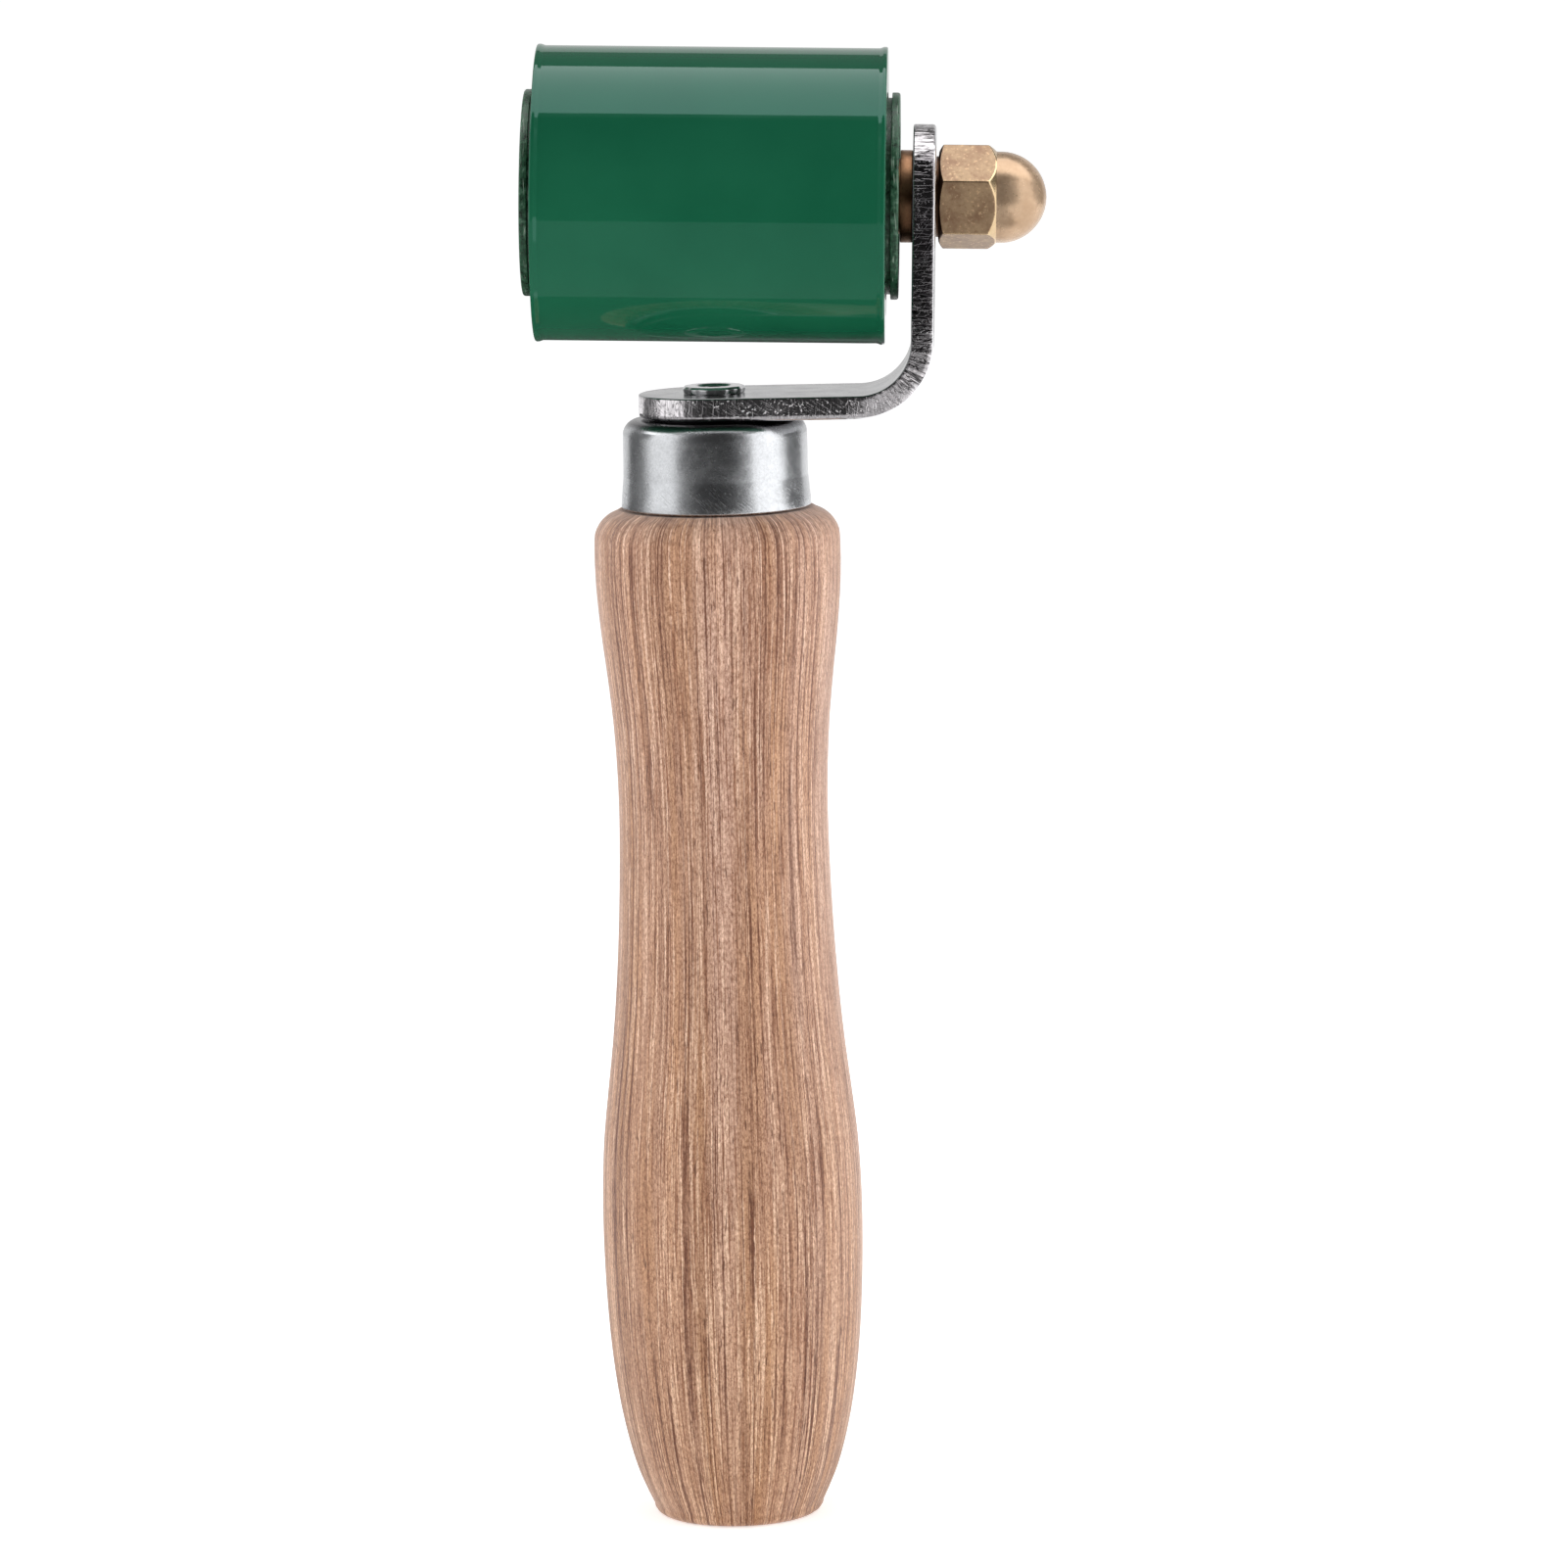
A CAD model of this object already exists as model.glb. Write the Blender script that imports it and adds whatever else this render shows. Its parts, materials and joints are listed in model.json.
"""Looks, light and camera for the seam roller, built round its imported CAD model.

Lengths are in millimetres until place() puts a mesh in the frame, which is in metres.
The studio and the noise in the materials are laid out in metres too.
"""
import json
import math

import bmesh
import bpy
from mathutils import Matrix, Vector, noise


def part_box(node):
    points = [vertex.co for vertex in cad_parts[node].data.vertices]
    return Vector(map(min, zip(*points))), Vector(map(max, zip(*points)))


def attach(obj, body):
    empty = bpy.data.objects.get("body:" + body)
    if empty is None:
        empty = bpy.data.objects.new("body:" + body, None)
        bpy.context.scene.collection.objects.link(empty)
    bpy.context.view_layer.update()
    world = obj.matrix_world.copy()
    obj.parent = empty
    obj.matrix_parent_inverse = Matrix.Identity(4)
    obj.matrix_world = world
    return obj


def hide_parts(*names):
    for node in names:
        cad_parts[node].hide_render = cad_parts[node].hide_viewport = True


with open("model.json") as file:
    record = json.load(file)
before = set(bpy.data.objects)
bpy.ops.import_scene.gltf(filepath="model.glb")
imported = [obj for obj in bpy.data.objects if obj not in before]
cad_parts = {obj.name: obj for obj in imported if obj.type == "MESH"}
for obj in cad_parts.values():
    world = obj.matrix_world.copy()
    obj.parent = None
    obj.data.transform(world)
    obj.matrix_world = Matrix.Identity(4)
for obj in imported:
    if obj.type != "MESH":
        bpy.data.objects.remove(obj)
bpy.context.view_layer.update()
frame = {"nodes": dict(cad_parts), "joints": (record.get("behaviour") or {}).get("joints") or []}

MM = 0.001

# ------------------------ places from the frame
SPIN = next(j for j in frame["joints"] if j["name"] == "roller_spin")
LEAN = math.asin(-SPIN["axis"][2])
# X runs along the axle towards the dome nut, from the roller's middle.
AXLE = Matrix.Translation(SPIN["pos_m"]) @ Matrix.Rotation(LEAN, 4, "Y")
UPRIGHT = Matrix.Scale(MM, 4)
# Profiles are turned about Z; this lays that Z along the axle.
ALONG_AXLE = AXLE @ Matrix.Rotation(math.pi / 2, 4, "Y") @ UPRIGHT


def along_axle(node):
    """(low, high, radius) of a CAD node about the axle, in millimetres."""
    inverse = AXLE.inverted()
    points = [inverse @ v.co / MM for v in frame["nodes"][node].data.vertices]
    return (min(p.x for p in points), max(p.x for p in points),
            max(math.hypot(p.y, p.z) for p in points))


def low_high(node):
    """Lowest and highest corner of a CAD node, in millimetres."""
    low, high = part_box(node)
    return low / MM, high / MM


# ------------------------ mesh making
def round_corners(corners, steps=4):
    """An outline of (x, y, rounding) corners as points, each rounding drawn as an arc."""
    points = []
    for i, (x, y, rounding) in enumerate(corners):
        corner = Vector((x, y))
        if not rounding:
            points.append(corner)
            continue
        back = (Vector(corners[i - 1][:2]) - corner).normalized()
        ahead = (Vector(corners[(i + 1) % len(corners)][:2]) - corner).normalized()
        half = back.angle(ahead) / 2
        centre = corner + (back + ahead).normalized() * (rounding / math.sin(half))
        start = corner + back * (rounding / math.tan(half)) - centre
        end = corner + ahead * (rounding / math.tan(half)) - centre
        sweep = start.angle(end)
        for step in range(steps + 1):
            t = step / steps
            arm = start * math.sin((1 - t) * sweep) + end * math.sin(t * sweep)
            points.append(centre + arm / math.sin(sweep))
    return points


def skin(rings, closed_profile):
    """Vertices and faces over rings of points; a ring of one point is a pole."""
    verts, faces, starts = [], [], []
    for ring in rings:
        starts.append(len(verts))
        verts.extend(ring)
    last = len(rings) if closed_profile else len(rings) - 1
    for i in range(last):
        a, b = rings[i], rings[(i + 1) % len(rings)]
        sa, sb = starts[i], starts[(i + 1) % len(rings)]
        count = max(len(a), len(b))
        for k in range(count):
            m = (k + 1) % count
            face = [sa + (k if len(a) > 1 else 0), sa + (m if len(a) > 1 else 0),
                    sb + (m if len(b) > 1 else 0), sb + (k if len(b) > 1 else 0)]
            faces.append(list(dict.fromkeys(face)))
    return verts, faces


def turned_rings(profile, segments, radius_at=None):
    """Rings of points about Z. radius_at(radius, angle) may reshape a ring."""
    rings = []
    for radius, height in profile:
        if radius < 1e-6:
            rings.append([Vector((0, 0, height))])
            continue
        ring = []
        for k in range(segments):
            angle = 2 * math.pi * k / segments
            r = radius_at(radius, angle) if radius_at else radius
            ring.append(Vector((r * math.cos(angle), r * math.sin(angle), height)))
        rings.append(ring)
    return rings


def linked(name, data):
    """A new object in the scene."""
    piece = bpy.data.objects.new(name, data)
    bpy.context.scene.collection.objects.link(piece)
    return piece


def place(name, verts, faces, matrix, sharp_degrees=40):
    """A smooth-shaded object with its vertices in the frame, normals outward."""
    mesh = bpy.data.meshes.new(name)
    mesh.from_pydata([matrix @ Vector(v) for v in verts], [], faces)
    work = bmesh.new()
    work.from_mesh(mesh)
    bmesh.ops.recalc_face_normals(work, faces=work.faces)
    work.to_mesh(mesh)
    work.free()
    mesh.shade_smooth()
    mesh.set_sharp_from_angle(angle=math.radians(sharp_degrees))
    return linked(name, mesh)


def turned(name, corners, matrix, segments=128, closed=False, steps=4, radius_at=None):
    """A turned piece from an outline of (radius, height, rounding) corners."""
    profile = round_corners(corners, steps)
    rings = turned_rings(profile, segments, radius_at)
    verts, faces = skin(rings, closed)
    return place(name, verts, faces, matrix)


def finish_piece(piece, body, node, slot, *materials):
    """Rides a piece on its body in place of its CAD node, with its materials."""
    for material in materials:
        piece.data.materials.append(material)
    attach(piece, body)
    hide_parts(node)


# ------------------------ node helpers
def srgb(*channels):
    """A display colour, 0 to 255, as a linear one."""
    shares = [channel / 255 for channel in channels]
    linear = [v / 12.92 if v <= 0.04045 else ((v + 0.055) / 1.055) ** 2.4 for v in shares]
    return (*linear, 1.0)


WHITE = (1.0, 1.0, 1.0, 1.0)


def fill_ramp(node, stops):
    """Gives a colour ramp node its stops, which are (position, colour or grey)."""
    elements = node.color_ramp.elements
    while len(elements) < len(stops):
        elements.new(0.5)
    for element, (position, colour) in zip(elements, stops):
        element.position = position
        element.color = (colour,) * 3 + (1,) if isinstance(colour, float) else colour


class Look:
    """One material and short calls that add nodes to it."""

    def __init__(self, name, **shader):
        self.material = bpy.data.materials.new(name)
        self.material.use_nodes = True
        self.tree = self.material.node_tree
        self.shader = self.tree.nodes["Principled BSDF"]
        self.set(**shader)

    def set(self, **shader):
        self.feed(self.shader, {key.replace("_", " "): v for key, v in shader.items()})

    def feed(self, node, inputs):
        for key, value in inputs.items():
            if isinstance(value, bpy.types.NodeSocket):
                self.tree.links.new(value, node.inputs[key])
            else:
                node.inputs[key].default_value = value

    def add(self, kind, inputs, **settings):
        node = self.tree.nodes.new("ShaderNode" + kind)
        for key, value in settings.items():
            setattr(node, key, value)
        self.feed(node, inputs)
        return node

    def point(self):
        return self.add("TexCoord", {}).outputs["Object"]

    def stretched(self, point, per_metre, turn=(0, 0, 0)):
        """The point turned, then scaled to so many noise cells per metre along each axis."""
        node = self.add("Mapping", {"Vector": point, "Rotation": turn}, vector_type="TEXTURE")
        scale = {0: node.outputs[0], 1: per_metre}
        return self.add("VectorMath", scale, operation="MULTIPLY").outputs[0]

    def noise(self, point, per_metre, detail=2.0, rough=0.5, turn=(0, 0, 0), out="Fac"):
        vector = self.stretched(point, per_metre, turn)
        inputs = {"Vector": vector, "Scale": 1.0, "Detail": detail, "Roughness": rough}
        return self.add("TexNoise", inputs).outputs[out]

    def vector(self, operation, a, b=(0, 0, 0)):
        return self.add("VectorMath", {0: a, 1: b}, operation=operation).outputs[0]

    def ramp(self, value, *stops):
        node = self.add("ValToRGB", {"Fac": value})
        fill_ramp(node, stops)
        return node.outputs["Color"]

    def mix(self, amount, a, b, blend="MIX"):
        node = self.add("Mix", {0: amount, 6: a, 7: b}, data_type="RGBA", blend_type=blend)
        return node.outputs[2]

    def math(self, operation, a, b):
        return self.add("Math", {0: a, 1: b}, operation=operation).outputs[0]

    def times(self, a, b):
        return self.math("MULTIPLY", a, b)

    def tint(self, colour, by):
        return self.mix(1.0, colour, by, "MULTIPLY")

    def moved(self, point, by, reach):
        """The point moved by a vector times reach, axis by axis."""
        inputs = {0: by, 1: reach, 2: point}
        return self.add("VectorMath", inputs, operation="MULTIPLY_ADD").outputs[0]

    def climb(self, start, span):
        """How far up a point is: 0 at start and 1 a span above it, both in millimetres."""
        height_up = self.add("SeparateXYZ", {"Vector": self.point()}).outputs["Z"]
        return self.times(self.math("SUBTRACT", height_up, start * MM), 1 / (span * MM))

    def bump(self, height, depth_mm, strength=1.0, under=None):
        inputs = {"Height": height, "Distance": depth_mm * MM, "Strength": strength}
        if under is not None:
            inputs["Normal"] = under
        return self.add("Bump", inputs).outputs[0]


# ------------------------ materials
GRAIN_ROD = 13.0        # radius of the rod the wood grain is laid out on
SWAY = (0.0005, 0.0005, 0)      # how far a grain line wanders along the handle, in metres
WOBBLE = (0.00013, 0.00013, 0)  # how far it wanders over a millimetre or two
FIBRE_SHADE = (0.54, 0.40, 0.32, 1.0)
FIBRE_SHINE = (1.44, 1.54, 1.62, 1.0)


def wood_look():
    """Bare turned hardwood: fine grain that follows the outline, pores, a few dark specks."""
    look = Look("turned_wood", Roughness=0.6, IOR=1.42, Sheen_Weight=0.3, Sheen_Roughness=0.5)
    raw = look.point()
    # Grain is laid out round a plain rod, so its lines follow the turned outline.
    outward = look.vector("NORMALIZE", look.vector("MULTIPLY", raw, (1, 1, 0)))
    rod = look.vector("MULTIPLY", outward, (GRAIN_ROD * MM, GRAIN_ROD * MM, 0))
    rod = look.moved(rod, raw, (0, 0, 1))
    rod = look.moved(rod, look.noise(rod, (60, 60, 22), 2.0, out="Color"), SWAY)
    rod = look.moved(rod, look.noise(rod, (900, 900, 420), 2.0, out="Color"), WOBBLE)

    board = look.noise(rod, (260, 260, 6), 2.0)
    hue = look.noise(rod, (420, 420, 25), 1.0)
    bands = look.noise(rod, (1400, 1400, 14), 2.0, 0.6)
    deep = look.ramp(look.noise(rod, (2500, 2500, 12), 4.0, 0.72), (0.545, 0.0), (0.585, 1.0))
    thin = look.ramp(look.noise(rod, (4200, 4200, 60), 2.0, 0.6), (0.54, 0.0), (0.61, 1.0))
    pale = look.ramp(look.noise(rod, (1700, 1700, 20), 2.0, 0.6),
                     (0.525, 0.0), (0.56, 1.0), (0.575, 1.0), (0.61, 0.0))
    broken = look.ramp(look.noise(rod, (700, 700, 160), 2.0), (0.34, 0.5), (0.5, 1.0))
    fibre = look.noise(rod, (5200, 5200, 2300), 2.0, 0.7)
    pores = look.noise(rod, (4300, 4300, 420), 1.0)

    colour = look.ramp(board, (0.32, srgb(168, 126, 99)), (0.5, srgb(180, 138, 113)),
                       (0.68, srgb(192, 153, 132)))
    colour = look.mix(look.ramp(hue, (0.44, 0.0), (0.70, 0.5)), colour, srgb(184, 135, 94))
    colour = look.tint(colour, look.ramp(bands, (0.3, 0.91), (0.5, 1.0), (0.7, 1.09)))
    colour = look.mix(look.times(pale, 0.75), colour, srgb(230, 194, 170))
    thin = look.times(thin, broken)
    deep = look.times(deep, broken)
    colour = look.mix(look.times(thin, 0.82), colour, srgb(136, 88, 60))
    colour = look.mix(look.times(deep, 0.92), colour, srgb(104, 56, 32))
    shine = look.ramp(fibre, (0.28, FIBRE_SHADE), (0.5, 1.0), (0.72, FIBRE_SHINE))
    colour = look.tint(colour, shine)
    pore_mask = look.ramp(pores, (0.66, 0.0), (0.74, 0.85))
    colour = look.mix(pore_mask, colour, srgb(100, 60, 40))
    cells = look.add("TexVoronoi", {"Vector": look.stretched(raw, (170, 170, 140))})
    speck = look.ramp(cells.outputs["Distance"], (0.03, 0.85), (0.07, 0.0))
    colour = look.mix(speck, colour, srgb(62, 38, 26))
    handled = look.ramp(look.climb(0, FERRULE[0].z), (0.05, srgb(248, 244, 232)), (0.75, WHITE))
    look.set(Base_Color=look.tint(colour, handled))

    cuts = look.math("ADD", look.times(deep, 0.9), look.times(thin, 0.5))
    height = look.math("SUBTRACT", look.math("SUBTRACT", fibre, cuts), pore_mask)
    look.set(Normal=look.bump(height, 0.04, 0.4))
    return look.material


def silicone_look():
    """Glossy green silicone with faint scuffs and dust."""
    look = Look("green_silicone", IOR=1.47, Specular_Tint=(0.62, 1.0, 1.0, 1.0))
    point = look.point()
    cloud = look.noise(point, (90, 90, 90), 2.0)
    colour = look.ramp(cloud, (0.3, srgb(19, 84, 58)), (0.7, srgb(24, 90, 63)))
    scuffs = look.noise(point, (60, 1800, 1800), 3.0, 0.7)
    rough = look.ramp(scuffs, (0.45, 0.035), (0.8, 0.13))
    look.set(Base_Color=colour, Roughness=rough)
    ripple = look.noise(point, (120, 500, 500), 1.0)
    look.set(Normal=look.bump(ripple, 0.01, 0.15))
    return look.material


def core_look():
    """Coated core: dull green, mottled grey where the coat is thin."""
    look = Look("coated_core", IOR=1.45)
    point = look.point()
    mottle = look.noise(point, (1400, 1400, 1400), 3.0, 0.7)
    colour = look.ramp(mottle, (0.34, srgb(16, 40, 26)), (0.55, srgb(38, 84, 58)),
                       (0.74, srgb(96, 122, 106)))
    rings = look.noise(point, (5200, 420, 420), 2.0, 0.6)
    worn = look.ramp(rings, (0.60, 0.0), (0.70, 0.7))
    colour = look.mix(worn, colour, srgb(150, 168, 152))
    look.set(Base_Color=colour, Roughness=look.ramp(mottle, (0.3, 0.22), (0.7, 0.5)))
    look.set(Normal=look.bump(look.math("ADD", mottle, rings), 0.06, 0.7))
    return look.material


def plated_look(name, colour, rough_low, rough_high, scratch_depth, metallic=1.0):
    """Bright plating, with fine scratches that run slantwise."""
    look = Look(name, Metallic=metallic)
    point = look.point()
    cloud = look.noise(point, (260, 260, 260), 3.0)
    scratch = look.noise(point, (500, 500, 9000), 2.0, 0.6, turn=(0, 0.7, 0))
    cross = look.noise(point, (900, 900, 7000), 2.0, 0.6, turn=(0.3, -0.5, 0))
    marks = look.math("MAXIMUM", look.ramp(scratch, (0.66, 0.0), (0.8, 0.8)),
                      look.ramp(cross, (0.7, 0.0), (0.84, 0.8)))
    stain = look.ramp(cloud, (0.35, 0.84), (0.65, 1.0))
    look.set(Base_Color=look.tint(colour, stain))
    rough = look.ramp(cloud, (0.35, rough_low), (0.7, rough_high))
    look.set(Roughness=look.math("ADD", rough, look.times(marks, 0.12)))
    grit = look.noise(point, (3500, 3500, 3500), 2.0)
    height = look.math("SUBTRACT", look.times(grit, 0.35), marks)
    look.set(Normal=look.bump(height, scratch_depth, 0.5))
    return look.material


def ferrule_look(foot, top):
    """Drawn and plated: mottled, slantwise scratches near its foot, dark at its top crease."""
    look = Look("plated_ferrule", Metallic=1.0)
    point = look.point()
    cloud = look.noise(point, (420, 420, 420), 4.0, 0.65)
    grain = look.noise(point, (3400, 3400, 3400), 2.0, 0.7)
    scratch = look.noise(point, (700, 700, 9000), 2.0, 0.6, turn=(0, 0.75, 0))
    low_down = look.ramp(look.climb(foot, 5.0), (0.3, 1.0), (0.8, 0.1))
    marks = look.times(look.ramp(scratch, (0.58, 0.0), (0.7, 1.0)), low_down)
    crease = look.ramp(look.climb(top - 1.0, 1.0), (0.0, 0.0), (0.65, 0.88))
    colour = look.ramp(cloud, (0.3, srgb(203, 205, 208)), (0.65, srgb(226, 228, 231)))
    colour = look.tint(colour, look.ramp(grain, (0.3, 0.84), (0.7, 1.0)))
    look.set(Base_Color=look.mix(crease, colour, srgb(64, 58, 63)))
    rough = look.ramp(cloud, (0.35, 0.22), (0.7, 0.3))
    look.set(Roughness=look.math("ADD", rough, look.times(marks, 0.1)))
    height = look.math("SUBTRACT", look.times(grain, 0.8), marks)
    look.set(Normal=look.bump(height, 0.012, 0.5))
    return look.material


BEND_SPAN = 25.0        # from the top of the arm's leg to a little above the bend
TORN_FROM = SPIN["pos_m"][2] / MM + 4.2     # above this the arm's edge is torn and bright
RAGGED = 3.0            # how far up and down the start of the torn part wanders


def sheared_look():
    """Torn, plated edge of the strip: ribs across it, pits, chips and creases at the bend.

    Its UV map holds millimetres along the outline and through the strip.
    """
    look = Look("sheared_edge")
    strip = look.add("TexCoord", {}).outputs["UV"]
    solid = look.point()
    height = look.climb(ARM_LEG_TOP, BEND_SPAN)
    bent = look.ramp(height, (0.0, 0.22), (0.08, 1.0), (0.4, 1.0), (0.62, 0.4))
    level = look.ramp(height, (0.1, 1.0), (0.4, 0.18))
    steel = look.ramp(height, (0.1, srgb(238, 234, 237)), (0.5, srgb(156, 152, 155)))

    ribs = look.noise(strip, (1.9, 0.14, 1.0), 2.0, 0.6)
    creases = look.ramp(look.noise(strip, (1.2, 0.16, 1.0), 2.0, 0.6),
                        (0.47, 0.0), (0.49, 1.0), (0.51, 1.0), (0.53, 0.0))
    scores = look.ramp(look.noise(strip, (0.5, 5.0, 1.0), 2.0, 0.6, turn=(0, 0, 0.6)),
                       (0.56, 0.0), (0.66, 1.0))
    crumbs = look.noise(solid, (2700, 2700, 2700), 2.0, 0.65)
    patches = look.noise(solid, (420, 420, 420), 2.0, 0.5)
    patched = look.ramp(patches, (0.42, 0.0), (0.5, 1.0))

    ragged = look.times(look.math("SUBTRACT", patches, 0.5), RAGGED)
    torn_top = look.ramp(look.math("ADD", look.climb(TORN_FROM, 1.0), ragged),
                         (0.0, 0.0), (0.4, 1.0))
    torn = look.ramp(look.noise(strip, (3.6, 0.5, 1.0), 3.0, 0.7), (0.42, srgb(132, 129, 131)),
                     (0.5, srgb(196, 192, 194)), (0.6, srgb(224, 220, 223)))
    dark = look.mix(bent, WHITE, look.ramp(ribs, (0.40, 0.25), (0.58, 0.86)))
    colour = look.tint(look.mix(torn_top, steel, torn), dark)
    creased = look.times(creases, look.times(bent, 0.95))
    look.set(Base_Color=look.mix(creased, colour, srgb(24, 22, 23)))
    chips = look.times(look.ramp(crumbs, (0.64, 0.0), (0.66, 0.8)), look.times(patched, level))
    look.set(Metallic=look.math("SUBTRACT", 1.0, chips))
    look.set(Roughness=look.ramp(patches, (0.35, 0.08), (0.65, 0.2)))

    folds = look.times(look.math("SUBTRACT", look.times(ribs, 1.4), creases), bent)
    under = look.bump(folds, 0.07, 0.6)
    knocks = look.times(look.ramp(crumbs, (0.61, 0.0), (0.64, 1.0)), patched)
    knocks = look.math("ADD", look.times(knocks, level), look.times(scores, 0.035))
    knocks = look.math("MAXIMUM", knocks, look.times(torn_top, look.times(ribs, 0.4)))
    look.set(Normal=look.bump(knocks, 0.18, 1.0, under))
    return look.material


def brass_look(name, bright, dull, metallic, smooth, flecked=0.15, **shader):
    """Machined brass with blotches where it has dulled and fine turning marks."""
    look = Look(name, Metallic=metallic, **shader)
    point = look.point()
    blotch = look.noise(point, (420, 420, 420), 3.0, 0.6)
    speck = look.noise(point, (2400, 2400, 2400), 2.0, 0.6)
    tone = look.ramp(blotch, (0.32, dull), (0.6, bright))
    spots = look.ramp(speck, (0.56, 0.0), (0.72, 0.6))
    flecks = look.ramp(speck, (0.30, flecked), (0.42, 0.0))
    fleck_colour = tuple(min(1.5 * channel, 1.0) for channel in bright)
    look.set(Base_Color=look.mix(flecks, look.mix(spots, tone, dull), fleck_colour))
    look.set(Roughness=look.ramp(blotch, (0.3, smooth), (0.7, smooth + 0.12)))
    turning = look.noise(point, (7000, 300, 300), 1.0)
    height = look.math("ADD", turning, look.times(speck, 0.6))
    look.set(Normal=look.bump(height, 0.02, 0.3))
    return look.material


def cage_look():
    """Moulded cage: pale, slightly mottled plastic."""
    look = Look("moulded_cage", IOR=1.5)
    flow = look.noise(look.point(), (300, 300, 300), 2.0)
    look.set(Base_Color=look.ramp(flow, (0.3, srgb(196, 186, 158)), (0.7, srgb(214, 205, 180))))
    look.set(Roughness=look.ramp(flow, (0.3, 0.4), (0.7, 0.55)))
    look.set(Normal=look.bump(flow, 0.02, 0.3))
    return look.material


# ------------------------ handle end
FERRULE = low_high("ferrule")
TANG = low_high("tang_rivet")
ARM = low_high("bracket_arm")
GAP = 0.05
INSET = 0.02            # keeps the outermost pieces inside the CAD model's box

FOOT_ROUND = 1.0        # height of the rounding at the handle's foot
SHOULDER_RIM = 0.3      # height of the rim round the shoulder under the ferrule
TENON_GAP = 0.15
TENON_SHORT = 1.4       # the tenon ends this far below the ferrule's top
FERRULE_WALL = 0.8
FERRULE_INNER = 9.77
FERRULE_HOLE = 3.3
SEAT_RADIUS = 7.6       # the raised seat the arm's leg lies on
SEAT_HEIGHT = 0.2
TANG_RADIUS = 3.0
TANG_CLEARANCE = 1.0    # the bore ends this far below the tang


def cad_outline(node, top, thinnest):
    """Largest radius at each height of a turned CAD node, up to top, without its bore."""
    outline = {}
    for vertex in frame["nodes"][node].data.vertices:
        point = vertex.co / MM
        height = round(point.z, 3)
        if height < top:
            outline[height] = max(outline.get(height, 0), math.hypot(point.x, point.y))
    return sorted((height, radius) for height, radius in outline.items() if radius > thinnest)


def smooth_between(outline, per_span):
    """A smooth curve through (height, radius) points, as (radius, height) points."""
    curve = []
    for i in range(len(outline) - 1):
        before = outline[max(i - 1, 0)]
        start, end = outline[i], outline[i + 1]
        after = outline[min(i + 2, len(outline) - 1)]
        span = end[0] - start[0]
        slope_in = (end[1] - before[1]) / (end[0] - before[0])
        slope_out = (after[1] - start[1]) / (after[0] - start[0])
        for step in range(per_span):
            t = step / per_span
            radius = ((2 * t**3 - 3 * t**2 + 1) * start[1] + (t**3 - 2 * t**2 + t) * span * slope_in
                      + (3 * t**2 - 2 * t**3) * end[1] + (t**3 - t**2) * span * slope_out)
            curve.append((radius, start[0] + t * span))
    return curve + [(outline[-1][1], outline[-1][0])]


def make_handle():
    shoulder_top = FERRULE[0].z - GAP
    under_ferrule = shoulder_top - SHOULDER_RIM / 2
    outline = cad_outline("handle", shoulder_top - SHOULDER_RIM, 2 * TANG[1].x)
    foot = [(radius, height) for height, radius in outline if height <= FOOT_ROUND]
    side = smooth_between([p for p in outline if p[0] > FOOT_ROUND], 6)
    rim = [(side[-1][0] - 0.5, shoulder_top - 0.1), (FERRULE[1].x, under_ferrule)]
    tenon = FERRULE_INNER - TENON_GAP
    tenon_top = FERRULE[1].z - TENON_SHORT
    bore = TANG_RADIUS + GAP
    bore_end = TANG[0].z - TANG_CLEARANCE
    profile = [(0.0, 0.0), (foot[0][0] / 2, 0.0)] + foot + side + rim
    profile += [(tenon, under_ferrule), (tenon, tenon_top), (bore, tenon_top)]
    profile += [(bore, bore_end), (0.0, bore_end)]
    verts, faces = skin(turned_rings(profile, 256), False)
    piece = place("turned_handle", verts, faces, UPRIGHT, 50)
    finish_piece(piece, "handle_frame", "handle", "wood", wood_look())


def make_ferrule():
    low, high = FERRULE
    flare = high.x
    body = FERRULE_INNER + FERRULE_WALL
    top = high.z - SEAT_HEIGHT
    corners = [
        (FERRULE_INNER, low.z, 0.1), (flare, low.z, 0.22), (flare - 0.05, low.z + 0.9, 0.4),
        (body + 0.06, low.z + 3.6, 4.0), (body, top, 1.8), (SEAT_RADIUS, top, 0.05),
        (SEAT_RADIUS - 0.1, high.z, 0.05), (FERRULE_HOLE, high.z, 0),
        (FERRULE_HOLE, top - FERRULE_WALL, 0), (FERRULE_INNER, top - FERRULE_WALL, 0.5),
    ]
    piece = turned("drawn_ferrule", corners, UPRIGHT, 192, closed=True, steps=8)
    finish_piece(piece, "handle_frame", "ferrule", "plated_steel", ferrule_look(low.z, top))


BARBS = 5
FIRST_BARB = 2.0        # height of the lowest barb over the tang's end
BARB_PITCH = 3.0
BARB_ROOT = 2.65
TANG_POINT = 2.0        # radius of the tang's end
HEAD_SPREAD = 0.12      # the rivet head's radius is this much over the CAD model's
HEAD_HOLE = 1.93
HEAD_LOBES = 11
LOBE_DEPTH = 0.14
LOBED_RIM = 0.6         # the lobes fade out this far in from the head's rim


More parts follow.
